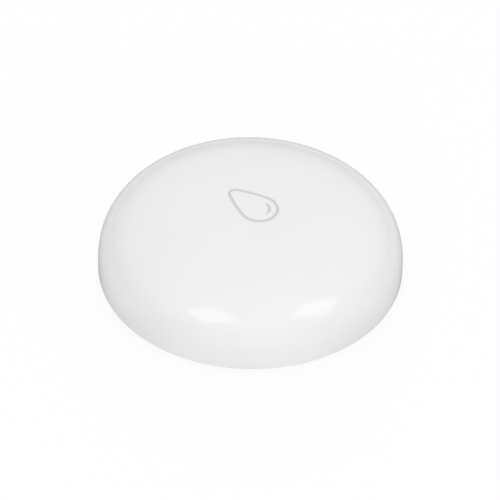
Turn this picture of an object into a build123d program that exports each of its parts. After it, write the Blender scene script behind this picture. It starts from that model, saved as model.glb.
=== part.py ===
"""Water leak sensor: a white puck 50 mm across and 15 mm high, for a floor or a cupboard.

A domed upper shell reaches down to the underside with no seam in its side. A base snaps into
it from below against a ring seal. The base stands on four low feet, and holds two stainless
probe screws just above the floor, and a coin-turned bayonet cover over a 2032 coin cell.
The circuit board lies on the base. Pressing the middle of the dome bends it by a few tenths
of a millimetre, until the plunger under it clicks the reset switch on the board.

Millimetres. +Z is up, the origin is on the floor under the body's axis, +Y is the way the
mark on the dome points, and the probes lie along X.
"""

import os
from math import cos, pi, radians, sin

from build123d import *

os.makedirs("parts", exist_ok=True)

# General clearances
fit_gap = 0.05  # between fixed pieces that seat on each other
running_gap = 0.15  # round the battery cover, which turns
overrun = 1.0  # how far a cut passes the surface it leaves by

# Outside form of the shell
foot_height = 0.6
side_wall = 1.7  # beside the socket that takes the base
crown_wall = 1.5
straight_wall_height = 1.7  # upright part of the side, below the dome
dome_exponent = 2.6  # 2 is an ellipse, more is squarer
dome_steps = 9
shell_edge_round = 0.45

# Coin cell, size 2032
cell_radius = 10.0
cell_height = 3.2
can_wall = 0.25
can_height = 2.9
can_lip = 0.6  # crimped in over the gasket
can_edge_bevel = 0.15
gasket_wall = 0.25
gasket_stand = 0.05  # how far the gasket shows above the can
cap_step = 0.6

# Battery cover and its bayonet
cell_side_gap = 0.3
cup_wall = 0.9
cover_floor = 1.4
cover_recess = 0.15  # how far the cover lies inside the base's underside
cover_flange_height = 0.8
cover_flange_reach = 1.0
cover_land_height = 1.5
cover_edge_bevel = 0.25
lug_count = 3
lug_reach = 1.0
lug_height = 0.85
lug_span = 26.0  # degrees
lug_angle = 90.0  # degrees, of the first lug when locked
cover_turn = 30.0  # degrees from locked to open
stop_gap = 2.0  # degrees, on both sides of a lug
ledge_height = 0.85
coin_slot_length = 15.0
coin_slot_width = 1.8
coin_slot_depth = 0.8
cover_groove_height = 1.0
cover_groove_depth = 0.75

# Base
base_floor = 1.5
collar_wall = 1.25
rim_height = 4.0
rim_wall = 2.1
base_edge_bevel = 0.3
foot_count = 4
foot_radius = 1.5
foot_angle = 45.0  # degrees
foot_inset = 3.4  # from the base's edge to a foot's axis
foot_bevel = 0.25
rib_count = 8
rib_width = 0.9
rib_height = 1.6
rib_angle = 22.5  # degrees

# Snap joint, key and seal between base and shell
socket_gap = 0.1
shoulder_width = 0.3
snap_count = 6
snap_span = 22.0  # degrees
snap_reach = 0.3
snap_height = 0.7
snap_flat = 0.15
snap_below_rim = 0.3
snap_gap = 0.1
key_width = 2.0
key_reach = 0.9
key_height = 1.0
groove_above_underside = 0.8
groove_height = 1.3
groove_depth = 0.95
seal_gap = 0.03  # between a seal and the walls that squeeze it
seal_corner_share = 0.25  # of a seal's smaller side

# Probe screws, with their seals and standoffs
probe_offset = 4.4  # from the collar to a probe's axis
rim_offset = 5.2  # from a probe's axis to the base's edge
probe_floor_gap = 0.25
probe_thread_radius = 1.25
probe_thread_length = 6.0
probe_head_radius = 2.4
probe_head_height = 1.35
probe_head_bevel = 0.4
probe_seat_gap = 0.2
probe_recess_width = 0.65
probe_recess_length = 2.7
probe_recess_depth = 0.8
thread_gap = 0.02
gland_height = 0.75
gland_width = 0.8
probe_boss_wall = 0.9
standoff_wall = 1.05
standoff_length = 2.5
standoff_sides = 6
spigot_wall = 0.35
spigot_stand = 0.6  # above the board

# Circuit board and its screws
contact_room = 1.6  # from the cell to the board
board_thickness = 1.0
board_side_gap = 0.8
board_screw_angle = 60.0  # degrees, and the same half a turn on
board_screw_radius = 1.0
board_screw_length = 4.5
board_screw_head_radius = 1.75
board_screw_head_height = 1.1
board_screw_head_bevel = 0.35
board_screw_hole_gap = 0.1
board_boss_wall = 1.2
board_boss_spare_depth = 0.5

# Battery contacts, bent from strip
strip_thickness = 0.2
strip_bend = 0.35
positive_strip_width = 3.0
positive_foot_length = 1.5
positive_leg_gap = 0.9  # from the cell's side to the upright leg
positive_leg_length = 1.0
positive_nose_depth = 2.6  # below the board
positive_tail_reach = 0.6
positive_tail_drop = 0.6
negative_strip_width = 3.0
negative_foot_radius = 8.2
negative_foot_length = 2.4
negative_tail_run = 1.4
negative_tail_rise = 0.45
negative_angle = 195.0  # degrees

# Reset switch on the board
switch_side = 6.2
switch_corner = 0.5
switch_height = 3.4
switch_plate_thickness = 0.2
switch_plate_inset = 0.15
switch_floor = 0.7
switch_well_radius = 2.3
switch_side_gap = 0.15  # round the button, in its well and in the plate
snap_dome_rise = 0.4
snap_dome_thickness = 0.08
button_stand = 0.9  # above the switch's plate
button_shoulder = 0.5  # how far the button's flange reaches under the plate
button_bevel = 0.25
nub_radius = 0.7
nub_height = 0.3
terminal_width = 0.7
terminal_thickness = 0.15
terminal_reach = 1.1
terminal_rise = 0.8
terminal_pitch = 4.5

# Inside of the dome: plunger, thin ring that lets it bend, posts and ribs
plunger_gap = 0.1
plunger_length = 1.1
plunger_radius = 1.5
cross_length = 5.6
cross_width = 0.8
cross_drop = 0.6
flex_ring_radius = 8.5
flex_ring_width = 1.6
flex_ring_depth = 0.5
post_radius = 1.0
post_count = 4
post_angle = 30.0  # degrees
side_rib_gap = 0.4
side_rib_width = 0.8
side_rib_count = 12
side_rib_angle = 15.0  # degrees

# Parts soldered on the board, with their places as shares of the board's radius
radio_side = 6.0
radio_height = 0.85
radio_place_shares = (-0.44, 0.26)
crystal_length = 3.2
crystal_width = 2.5
crystal_height = 0.75
crystal_corner = 0.4
crystal_place_shares = (-0.43, -0.06)
antenna_bar_count = 9
antenna_pitch = 1.1
antenna_bar_length = 3.2
antenna_line_width = 0.5
antenna_height = 0.07
antenna_place_shares = (-0.06, 0.78)
sense_length = 2.9
sense_width = 1.6
sense_height = 1.1
sense_draft = 7.0  # degrees
sense_lead_width = 0.4
sense_lead_thickness = 0.15
sense_lead_reach = 0.6
sense_lead_rise = 0.5
sense_lead_pitch = 0.95
sense_place_shares = (0.55, 0.14)
tantalum_length = 3.5
tantalum_width = 2.8
tantalum_height = 1.9
tantalum_draft = 6.0  # degrees
tantalum_place_shares = (0.36, -0.42)
chip_length = 1.6
chip_width = 0.8
chip_end_length = 0.3
chip_end_skin = 0.03
capacitor_height = 0.8
capacitor_place_shares = [
    (-0.68, 0.18),
    (-0.68, 0.34),
    (-0.22, 0.46),
    (-0.60, -0.10),
    (0.38, 0.20),
    (0.62, -0.10),
]
resistor_height = 0.45
resistor_place_shares = [
    (0.36, 0.36),
    (0.66, 0.30),
    (0.62, -0.22),
    (-0.20, -0.46),
    (-0.36, -0.46),
]
led_length = 3.0
led_width = 2.6
led_height = 1.5
led_cup_radius = 1.0
led_cup_depth = 1.0
led_cup_draft = 15.0  # degrees
led_place_shares = (0.10, 0.46)

# Heights, worked out from the floor up
base_z = foot_height
base_floor_top_z = base_z + base_floor
rim_top_z = base_z + rim_height
shoulder_z = rim_top_z + fit_gap
straight_top_z = base_z + straight_wall_height
groove_z = base_z + groove_above_underside
snap_top_z = rim_top_z - snap_below_rim
cover_z = base_z + cover_recess
cover_flange_top_z = cover_z + cover_flange_height
cover_land_top_z = cover_flange_top_z + cover_land_height
cover_groove_z = cover_flange_top_z + (cover_land_height - cover_groove_height) / 2
cup_floor_z = cover_z + cover_floor
ledge_z = cover_land_top_z + fit_gap
ledge_top_z = ledge_z + ledge_height
lug_z = ledge_top_z + fit_gap
lug_top_z = lug_z + lug_height
pocket_top_z = lug_top_z + fit_gap
cell_z = cup_floor_z + fit_gap
cell_top_z = cell_z + cell_height
board_z = cell_top_z + contact_room
board_top_z = board_z + board_thickness
switch_plate_top_z = board_top_z + switch_height
switch_plate_z = switch_plate_top_z - switch_plate_thickness
well_floor_z = board_top_z + switch_floor
snap_dome_top_z = well_floor_z + snap_dome_rise + snap_dome_thickness
button_z = snap_dome_top_z + thread_gap
button_top_z = switch_plate_top_z + button_stand
plunger_z = button_top_z + plunger_gap
crown_inside_z = plunger_z + plunger_length
overall_height = crown_inside_z + crown_wall
probe_bearing_z = probe_floor_gap + probe_head_height
standoff_z = board_z - standoff_length

# Radii, worked out from the cell outwards
cup_radius = cell_radius + cell_side_gap
tab_radius = cup_radius + cup_wall
ledge_radius = tab_radius + running_gap
cover_radius = tab_radius + lug_reach
bore_radius = cover_radius + running_gap
cover_flange_radius = cover_radius + cover_flange_reach
flange_seat_radius = cover_flange_radius + running_gap
cover_groove_radius = cover_radius - cover_groove_depth
collar_radius = bore_radius + collar_wall
bolt_circle_radius = collar_radius + probe_offset
base_radius = bolt_circle_radius + rim_offset
rim_inside_radius = base_radius - rim_wall
groove_radius = base_radius - groove_depth
foot_circle_radius = base_radius - foot_inset
socket_radius = base_radius + socket_gap
body_radius = socket_radius + side_wall
snap_radius = socket_radius + snap_reach - snap_gap
cavity_radius = socket_radius - shoulder_width
shank_hole_radius = probe_thread_radius + fit_gap
gland_radius = shank_hole_radius + gland_width
probe_boss_radius = gland_radius + probe_boss_wall
head_seat_radius = probe_head_radius + probe_seat_gap
thread_bore_radius = probe_thread_radius + thread_gap
standoff_radius = thread_bore_radius + standoff_wall
spigot_radius = thread_bore_radius + spigot_wall
pilot_radius = board_screw_radius + thread_gap
board_boss_radius = pilot_radius + board_boss_wall
flange_radius = switch_well_radius - switch_side_gap
stem_radius = flange_radius - button_shoulder
plate_hole_radius = stem_radius + switch_side_gap
snap_dome_drop = snap_dome_rise - snap_dome_thickness / 2
snap_dome_curve = (flange_radius**2 + snap_dome_drop**2) / (2 * snap_dome_drop)

# Angles of the bayonet
lug_pitch = 360 / lug_count
open_angle = lug_angle - cover_turn
slot_span = lug_span + 2 * stop_gap
pocket_span = slot_span + cover_turn
pocket_angle = (lug_angle + open_angle) / 2
contact_angle = pocket_angle + lug_pitch / 2 - lug_pitch


def dome_points(half_width, top_z):
    """Points of a quarter superellipse, from the side wall up to the axis."""
    points = []
    for step in range(dome_steps):
        turn = pi / 2 * step / dome_steps
        radius = half_width * cos(turn) ** (2 / dome_exponent)
        rise = (top_z - straight_top_z) * sin(turn) ** (2 / dome_exponent)
        points.append((radius, straight_top_z + rise))
    return points + [(0, top_z)]


def cavity_radius_at(height):
    """Radius of the hollow under the dome, at a height."""
    share = (height - straight_top_z) / (crown_inside_z - straight_top_z)
    return cavity_radius * (1 - share**dome_exponent) ** (1 / dome_exponent)


board_radius = cavity_radius_at(board_top_z) - board_side_gap
side_rib_radius = board_radius + side_rib_gap


def radial_plane(angle):
    """The upright plane through the axis at an angle, with x outwards and y up."""
    turn = radians(angle)
    return Plane(
        origin=(0, 0, 0),
        x_dir=(cos(turn), sin(turn), 0),
        z_dir=(sin(turn), -cos(turn), 0),
    )


def on_board(shares):
    """A place on the board, from shares of its radius."""
    return (shares[0] * board_radius, shares[1] * board_radius)


def band(inner, outer, low, high, mode=Mode.ADD):
    """A rectangle in a section, between two radii and two heights."""
    with Locations(((inner + outer) / 2, (low + high) / 2)):
        Rectangle(outer - inner, high - low, mode=mode)


def ring(inner, outer, low, high, mode=Mode.ADD):
    """A full ring of rectangular section about the axis."""
    with BuildSketch(Plane.XZ) as profile:
        band(inner, outer, low, high)
    revolve(profile.sketch, axis=Axis.Z, mode=mode)


def ring_sector(inner, outer, low, high, angle, span, mode=Mode.ADD):
    """A part of a ring, centred on an angle."""
    with BuildSketch(radial_plane(angle - span / 2)) as profile:
        band(inner, outer, low, high)
    revolve(profile.sketch, axis=Axis.Z, revolution_arc=span, mode=mode)


def seal_section(inner, outer, low, high):
    """The section of a ring seal, squeezed nearly square in its groove."""
    corner = seal_corner_share * min(outer - inner, high - low)
    Polygon(
        (inner + corner, low),
        (outer - corner, low),
        (outer, low + corner),
        (outer, high - corner),
        (outer - corner, high),
        (inner + corner, high),
        (inner, high - corner),
        (inner, low + corner),
        align=None,
    )


def bent_strip(points, thickness, width, plane, bend=0):
    """A strip of sheet along a bent line, centred on a plane."""
    with BuildSketch(plane) as profile:
        with BuildLine() as path:
            FilletPolyline(*points, radius=bend) if bend else Polyline(*points)
        trace(path.line, line_width=thickness)
    extrude(profile.sketch, amount=width / 2, both=True)


def pan_head_screw(head_radius, head_height, head_bevel, shank_radius, shank_length):
    """A screw about the sketch's y axis, head down, with its bearing face at zero."""
    with BuildLine() as outline:
        Polyline(
            (0, shank_length),
            (shank_radius, shank_length),
            (shank_radius, 0),
            (head_radius, 0),
            (head_radius, head_bevel - head_height),
            (head_radius - head_bevel, -head_height),
            (0, -head_height),
            close=True,
        )
    make_face(outline.edges())


def finish(builder, name):
    """Labels a piece and writes it out."""
    builder.part.label = name
    export_step(builder.part, f"parts/{name}.step")


# Upper shell. Its hollow is made first: what stands inside the shell is left out of the hollow
with BuildPart() as hollow:
    with BuildSketch(Plane.XZ):
        with BuildLine():
            Spline(*dome_points(cavity_radius, crown_inside_z), tangents=[(0, 1), (-1, 0)])
            Polyline(
                (0, crown_inside_z),
                (0, base_z - overrun),
                (cavity_radius, base_z - overrun),
                (cavity_radius, straight_top_z),
            )
        make_face()
    revolve(axis=Axis.Z)
    # Posts that hold the board down
    with BuildSketch(Plane.XY.offset(board_top_z + fit_gap)):
        with PolarLocations(bolt_circle_radius, post_count, start_angle=post_angle):
            Circle(post_radius)
    extrude(amount=overall_height, mode=Mode.SUBTRACT)
    # Ribs on the side wall that centre the board
    with BuildSketch(Plane.XY.offset(base_z - overrun)):
        with PolarLocations(side_rib_radius, side_rib_count, start_angle=side_rib_angle):
            Rectangle(body_radius, side_rib_width, align=(Align.MIN, Align.CENTER))
    extrude(amount=overall_height, mode=Mode.SUBTRACT)
    # Plunger over the reset switch, and its crossed ribs
    with BuildSketch(Plane.XY.offset(plunger_z)):
        Circle(plunger_radius)
    extrude(amount=overall_height, mode=Mode.SUBTRACT)
    with BuildSketch(Plane.XY.offset(crown_inside_z - cross_drop)):
        Rectangle(cross_length, cross_width)
        Rectangle(cross_width, cross_length)
    extrude(amount=overall_height, mode=Mode.SUBTRACT)
    # Socket for the base, with the groove that its beads snap into
    ring(0, socket_radius, base_z - overrun, shoulder_z)
    ring(
        cavity_radius,
        socket_radius + snap_reach,
        snap_top_z - snap_height - snap_gap,
        snap_top_z + snap_gap,
    )
    # Thin ring that lets the middle of the dome bend
    ring(
        flex_ring_radius,
        flex_ring_radius + flex_ring_width,
        plunger_z,
        crown_inside_z + flex_ring_depth,
    )
    # Key that keeps the base from turning in the socket
    with BuildSketch(Plane.XY.offset(shoulder_z - key_height)):
        with Locations((0, socket_radius - key_reach)):
            Rectangle(key_width, key_reach + overrun, align=(Align.CENTER, Align.MIN))
    extrude(amount=key_height, mode=Mode.SUBTRACT)

with BuildPart() as upper_shell:
    with BuildSketch(Plane.XZ):
        with BuildLine():
            Spline(*dome_points(body_radius, overall_height), tangents=[(0, 1), (-1, 0)])
            Polyline(
                (0, overall_height),
                (0, base_z),
                (body_radius, base_z),
                (body_radius, straight_top_z),
            )
        make_face()
    revolve(axis=Axis.Z)
    fillet(upper_shell.edges().group_by(Axis.Z)[0], radius=shell_edge_round)
    add(hollow.part, mode=Mode.SUBTRACT)
finish(upper_shell, "upper_shell")

# Base
with BuildPart() as lower_shell:
    # Floor, rim and battery collar in one section
    with BuildSketch(Plane.XZ):
        band(0, base_radius, base_z, base_floor_top_z)
        band(rim_inside_radius, base_radius, base_z, rim_top_z)
        band(0, collar_radius, base_z, board_z)
    revolve(axis=Axis.Z)
    chamfer(lower_shell.edges().group_by(Axis.Z)[0], length=base_edge_bevel)
    # Stiffening ribs from the collar to the rim
    for step in range(rib_count):
        with BuildSketch(radial_plane(rib_angle + 360 * step / rib_count)):
            band(bore_radius, groove_radius, base_z, base_floor_top_z + rib_height)
        extrude(amount=rib_width / 2, both=True)
    # Bosses for the probes and the board screws
    with BuildSketch(Plane.XY.offset(base_z)):
        with PolarLocations(bolt_circle_radius, 2):
            Circle(probe_boss_radius)
    extrude(amount=standoff_z - base_z)
    with BuildSketch(Plane.XY.offset(base_z)):
        with PolarLocations(bolt_circle_radius, 2, start_angle=board_screw_angle):
            Circle(board_boss_radius)
    extrude(amount=board_z - base_z)
    # Seal groove, snap beads and key slot
    ring(groove_radius, socket_radius, groove_z, groove_z + groove_height, mode=Mode.SUBTRACT)
    for step in range(snap_count):
        with BuildSketch(radial_plane(360 * step / snap_count - snap_span / 2)):
            with BuildLine():
                Polyline(
                    (groove_radius, snap_top_z),
                    (base_radius, snap_top_z),
                    (snap_radius, snap_top_z - snap_height + snap_flat),
                    (snap_radius, snap_top_z - snap_height),
                    (groove_radius, snap_top_z - snap_height),
                    close=True,
                )
            make_face()
        revolve(axis=Axis.Z, revolution_arc=snap_span)
    with BuildSketch(Plane.XY.offset(shoulder_z - key_height - snap_gap)):
        with Locations((0, socket_radius - key_reach - snap_gap)):
            Rectangle(key_width + 2 * snap_gap, body_radius, align=(Align.CENTER, Align.MIN))
    extrude(amount=overall_height, mode=Mode.SUBTRACT)
    # Battery well: seat of the cover's flange, sealing bore, and room over the ledge
    ring(0, flange_seat_radius, base_z - overrun, cover_flange_top_z + fit_gap, mode=Mode.SUBTRACT)
    ring(0, bore_radius, base_z, ledge_z, mode=Mode.SUBTRACT)
    ring(0, ledge_radius, base_z, pocket_top_z, mode=Mode.SUBTRACT)
    ring(0, bore_radius, pocket_top_z, board_z + overrun, mode=Mode.SUBTRACT)
    # Slots that let the lugs in, and the pockets that they turn in, up to their stops
    for step in range(lug_count):
        ring_sector(
            cell_radius,
            bore_radius,
            base_z,
            ledge_top_z,
            open_angle + step * lug_pitch,
            slot_span,
            mode=Mode.SUBTRACT,
        )
        ring_sector(
            cell_radius,
            bore_radius,
            ledge_top_z,
            pocket_top_z,
            pocket_angle + step * lug_pitch,
            pocket_span,
            mode=Mode.SUBTRACT,
        )
    # Seats, glands and holes of the probe screws
    with BuildSketch(Plane.XY.offset(base_z)):
        with PolarLocations(bolt_circle_radius, 2):
            Circle(head_seat_radius)
    extrude(amount=probe_bearing_z - base_z, mode=Mode.SUBTRACT)
    with BuildSketch(Plane.XY.offset(probe_bearing_z)):
        with PolarLocations(bolt_circle_radius, 2):
            Circle(gland_radius)
    extrude(amount=gland_height, mode=Mode.SUBTRACT)
    with BuildSketch(Plane.XY.offset(probe_bearing_z)):
        with PolarLocations(bolt_circle_radius, 2):
            Circle(shank_hole_radius)
    extrude(amount=board_z, mode=Mode.SUBTRACT)
    # Pilot holes of the board screws
    with BuildSketch(Plane.XY.offset(board_top_z - board_screw_length - board_boss_spare_depth)):
        with PolarLocations(bolt_circle_radius, 2, start_angle=board_screw_angle):
            Circle(pilot_radius)
    extrude(amount=overall_height, mode=Mode.SUBTRACT)
    # Feet
    with BuildSketch(Plane.XY):
        with PolarLocations(foot_circle_radius, foot_count, start_angle=foot_angle):
            Circle(foot_radius)
    extrude(amount=base_floor_top_z)
    chamfer(lower_shell.edges().group_by(Axis.Z)[0], length=foot_bevel)
finish(lower_shell, "lower_shell")

with BuildPart() as shell_seal:
    with BuildSketch(Plane.XZ):
        seal_section(
            groove_radius + seal_gap,
            socket_radius - seal_gap,
            groove_z + seal_gap,
            groove_z + groove_height - seal_gap,
        )
    revolve(axis=Axis.Z)
finish(shell_seal, "shell_seal")

# Battery cover
with BuildPart() as battery_cover:
    with BuildSketch(Plane.XZ):
        band(0, cover_flange_radius, cover_z, cover_flange_top_z)
        band(0, cover_radius, cover_z, cover_land_top_z)
        band(0, cup_radius, cup_floor_z, cover_land_top_z, mode=Mode.SUBTRACT)
        band(
            cover_groove_radius,
            cover_radius,
            cover_groove_z,
            cover_groove_z + cover_groove_height,
            mode=Mode.SUBTRACT,
        )
    revolve(axis=Axis.Z)
    chamfer(battery_cover.edges().group_by(Axis.Z)[0], length=cover_edge_bevel)
    # Tabs that stand up through the ledge, with the bayonet lugs at their tops
    for step in range(lug_count):
        angle = lug_angle + step * lug_pitch
        ring_sector(cup_radius, tab_radius, cup_floor_z, lug_top_z, angle, lug_span)
        ring_sector(cup_radius, cover_radius, lug_z, lug_top_z, angle, lug_span)
    # Coin slot
    with BuildSketch(Plane.XY.offset(cover_z)):
        SlotOverall(coin_slot_length, coin_slot_width)
    extrude(amount=coin_slot_depth, mode=Mode.SUBTRACT)
finish(battery_cover, "battery_cover")

with BuildPart() as cover_seal:
    with BuildSketch(Plane.XZ):
        seal_section(
            cover_groove_radius + seal_gap,
            bore_radius - fit_gap,
            cover_groove_z + seal_gap,
            cover_groove_z + cover_groove_height - seal_gap,
        )
    revolve(axis=Axis.Z)
finish(cover_seal, "cover_seal")

# Coin cell: a can crimped over a gasket, with the filling and the cap as one solid
lip_z = cell_z + can_height - can_wall
lip_radius = cell_radius - can_lip
filling_radius = lip_radius - gasket_wall

with BuildPart() as cell_can:
    with BuildSketch(Plane.XZ):
        band(0, cell_radius, cell_z, cell_z + can_wall)
        band(cell_radius - can_wall, cell_radius, cell_z, cell_z + can_height)
        band(lip_radius, cell_radius, lip_z, cell_z + can_height)
    revolve(axis=Axis.Z)
    chamfer(cell_can.edges().group_by(Axis.Z)[0], length=can_edge_bevel)
finish(cell_can, "cell_can")

with BuildPart() as cell_gasket:
    with BuildSketch(Plane.XZ):
        band(filling_radius, cell_radius - can_wall, cell_z + can_wall, lip_z)
        band(filling_radius, lip_radius, cell_z + can_wall, cell_z + can_height + gasket_stand)
    revolve(axis=Axis.Z)
finish(cell_gasket, "cell_gasket")

with BuildPart() as cell_cap:
    with BuildSketch(Plane.XZ):
        band(0, filling_radius, cell_z + can_wall, cell_z + can_height)
        band(0, filling_radius - cap_step, cell_z + can_wall, cell_top_z)
    revolve(axis=Axis.Z)
    chamfer(cell_cap.edges().group_by(Axis.Z)[-1], length=can_edge_bevel)
finish(cell_cap, "cell_cap")

# Battery contacts, soldered under the board
strip_z = board_z - strip_thickness / 2
positive_leg_radius = cell_radius + positive_leg_gap
positive_nose_radius = cell_radius + fit_gap + strip_thickness / 2

with BuildPart() as positive_contact:
    bent_strip(
        [
            (positive_leg_radius - positive_foot_length, strip_z),
            (positive_leg_radius, strip_z),
            (positive_leg_radius, board_z - positive_leg_length),
            (positive_nose_radius, board_z - positive_nose_depth),
            (
                positive_nose_radius + positive_tail_reach,
                board_z - positive_nose_depth - positive_tail_drop,
            ),
        ],
        strip_thickness,
        positive_strip_width,
        radial_plane(contact_angle),
        strip_bend,
    )
finish(positive_contact, "positive_contact")

with BuildPart() as negative_contact:
    touch_z = cell_top_z + fit_gap + strip_thickness / 2
    bent_strip(
        [
            (negative_foot_radius, strip_z),
            (negative_foot_radius - negative_foot_length, strip_z),
            (0, touch_z),
            (-negative_tail_run, touch_z + negative_tail_rise),
        ],
        strip_thickness,
        negative_strip_width,
        radial_plane(negative_angle),
        strip_bend,
    )
finish(negative_contact, "negative_contact")

# Probe screws, their seals and the standoffs that they screw into
for side, probe_x in [("right", bolt_circle_radius), ("left", -bolt_circle_radius)]:
    probe_plane = Plane((probe_x, 0, probe_bearing_z), x_dir=(1, 0, 0), z_dir=(0, -1, 0))
    probe_axis = Axis((probe_x, 0, 0), (0, 0, 1))

    with BuildPart() as probe_screw:
        with BuildSketch(probe_plane):
            pan_head_screw(
                probe_head_radius,
                probe_head_height,
                probe_head_bevel,
                probe_thread_radius,
                probe_thread_length,
            )
        revolve(axis=probe_axis)
        with BuildSketch(Plane.XY.offset(probe_floor_gap)):
            with Locations((probe_x, 0)):
                Rectangle(probe_recess_length, probe_recess_width)
                Rectangle(probe_recess_width, probe_recess_length)
        extrude(amount=probe_recess_depth, mode=Mode.SUBTRACT)
    finish(probe_screw, f"probe_screw_{side}")

    with BuildPart() as probe_seal:
        with BuildSketch(probe_plane):
            seal_section(
                shank_hole_radius,
                gland_radius - seal_gap,
                seal_gap,
                gland_height - seal_gap,
            )
        revolve(axis=probe_axis)
    finish(probe_seal, f"probe_seal_{side}")

    with BuildPart() as probe_standoff:
        with BuildSketch(Plane.XY.offset(standoff_z)):
            with Locations((probe_x, 0)):
                RegularPolygon(standoff_radius, standoff_sides)
        extrude(amount=standoff_length)
        with BuildSketch(Plane.XY.offset(board_z)):
            with Locations((probe_x, 0)):
                Circle(spigot_radius)
        extrude(amount=board_thickness + spigot_stand)
        with BuildSketch(Plane.XY.offset(standoff_z)):
            with Locations((probe_x, 0)):
                Circle(thread_bore_radius)
        extrude(amount=overall_height, mode=Mode.SUBTRACT)
    finish(probe_standoff, f"probe_standoff_{side}")

# Circuit board and its two screws
with BuildPart() as circuit_board:
    with BuildSketch(Plane.XY.offset(board_z)):
        Circle(board_radius)
        with PolarLocations(bolt_circle_radius, 2):
            Circle(spigot_radius + fit_gap, mode=Mode.SUBTRACT)
        with PolarLocations(bolt_circle_radius, 2, start_angle=board_screw_angle):
            Circle(board_screw_radius + board_screw_hole_gap, mode=Mode.SUBTRACT)
    extrude(amount=board_thickness)
finish(circuit_board, "circuit_board")

with BuildPart() as board_screws:
    for step in range(2):
        turn = radians(board_screw_angle + 180 * step)
        screw_x = bolt_circle_radius * cos(turn)
        screw_y = bolt_circle_radius * sin(turn)
        with BuildSketch(Plane((screw_x, screw_y, board_top_z), x_dir=(1, 0, 0), z_dir=(0, 1, 0))):
            pan_head_screw(
                board_screw_head_radius,
                board_screw_head_height,
                board_screw_head_bevel,
                board_screw_radius,
                board_screw_length,
            )
        revolve(axis=Axis((screw_x, screw_y, 0), (0, 0, 1)))
finish(board_screws, "board_screws")


def board_blocks(name, places, length, width, height, draft_angle=0):
    """A node of one or more blocks that stand on the board."""
    with BuildPart() as blocks:
        with BuildSketch(Plane.XY.offset(board_top_z)):
            with Locations(*[on_board(shares) for shares in places]):
                Rectangle(length, width)
        extrude(amount=height, taper=draft_angle)
    finish(blocks, name)


# Chips and capacitors on the board
chip_body_length = chip_length - 2 * chip_end_length
board_blocks("radio_chip", [radio_place_shares], radio_side, radio_side, radio_height)
board_blocks(
    "sense_chip",
    [sense_place_shares],
    sense_length,
    sense_width,
    sense_height,
    sense_draft,
)
board_blocks(
    "bulk_capacitor",
    [tantalum_place_shares],
    tantalum_length,
    tantalum_width,
    tantalum_height,
    tantalum_draft,
)
board_blocks(
    "chip_capacitors",
    capacitor_place_shares,
    chip_body_length,
    chip_width,
    capacitor_height,
)
board_blocks(
    "chip_resistors",
    resistor_place_shares,
    chip_body_length,
    chip_width,
    resistor_height,
)

# Tinned ends of the small chips
with BuildPart() as chip_ends:
    for places, height in [
        (capacitor_place_shares, capacitor_height),
        (resistor_place_shares, resistor_height),
    ]:
        with BuildSketch(Plane.XY.offset(board_top_z)):
            with Locations(*[on_board(shares) for shares in places]):
                Rectangle(chip_length, chip_width + 2 * chip_end_skin)
                Rectangle(
                    chip_body_length,
                    chip_width + 2 * chip_end_skin,
                    mode=Mode.SUBTRACT,
                )
        extrude(amount=height + chip_end_skin)
finish(chip_ends, "chip_ends")

with BuildPart() as crystal:
    with BuildSketch(Plane.XY.offset(board_top_z)):
        with Locations(on_board(crystal_place_shares)):
            RectangleRounded(crystal_length, crystal_width, crystal_corner)
    extrude(amount=crystal_height)
finish(crystal, "crystal")


def bent_lead(x, y, way, body_edge, rise, reach, thickness, width):
    """A lead that leaves a body's side, drops to the board and turns out along it."""
    bent_strip(
        [
            (body_edge, rise),
            (body_edge + reach / 2, rise),
            (body_edge + reach / 2, thickness / 2),
            (body_edge + reach, thickness / 2),
        ],
        thickness,
        width,
        Plane((x, y, board_top_z), x_dir=(way[0], way[1], 0), z_dir=(way[1], -way[0], 0)),
    )


# Leads of the sense chip, three on one side and two on the other
sense_x, sense_y = on_board(sense_place_shares)
with BuildPart() as sense_leads:
    for way, places in [(1, (-1, 0, 1)), (-1, (-1, 1))]:
        for place in places:
            bent_lead(
                sense_x + place * sense_lead_pitch,
                sense_y,
                (0, way),
                sense_width / 2,
                sense_lead_rise,
                sense_lead_reach,
                sense_lead_thickness,
                sense_lead_width,
            )
finish(sense_leads, "sense_leads")

# Folded copper antenna at the board's edge
antenna_x, antenna_y = on_board(antenna_place_shares)
with BuildPart() as antenna_trace:
    with BuildSketch(Plane.XY.offset(board_top_z)):
        with Locations((antenna_x, antenna_y)):
            with GridLocations(antenna_pitch, 0, antenna_bar_count, 1):
                Rectangle(antenna_line_width, antenna_bar_length)
        for step in range(antenna_bar_count - 1):
            end = 1 if step % 2 else -1
            link_x = antenna_x + (step + 1 - antenna_bar_count / 2) * antenna_pitch
            link_y = antenna_y + end * (antenna_bar_length - antenna_line_width) / 2
            with Locations((link_x, link_y)):
                Rectangle(antenna_pitch, antenna_line_width)
    extrude(amount=antenna_height)
finish(antenna_trace, "antenna_trace")

# Status light: a body with a tapered cup, which its lens fills
with BuildPart() as status_led_lens:
    with BuildSketch(Plane.XY.offset(board_top_z + led_height - led_cup_depth)):
        with Locations(on_board(led_place_shares)):
            Circle(led_cup_radius)
    extrude(amount=led_cup_depth, taper=-led_cup_draft)
finish(status_led_lens, "status_led_lens")

with BuildPart() as status_led_body:
    with BuildSketch(Plane.XY.offset(board_top_z)):
        with Locations(on_board(led_place_shares)):
            Rectangle(led_length, led_width)
    extrude(amount=led_height)
    add(status_led_lens.part, mode=Mode.SUBTRACT)
finish(status_led_body, "status_led_body")

# Reset switch: body, snap dome, button, plate and leads
with BuildPart() as switch_base:
    with BuildSketch(Plane.XY.offset(board_top_z)):
        RectangleRounded(switch_side, switch_side, switch_corner)
    extrude(amount=switch_plate_z - board_top_z)
    with BuildSketch(Plane.XY.offset(well_floor_z)):
        Circle(switch_well_radius)
    extrude(amount=switch_height, mode=Mode.SUBTRACT)
finish(switch_base, "switch_base")

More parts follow.
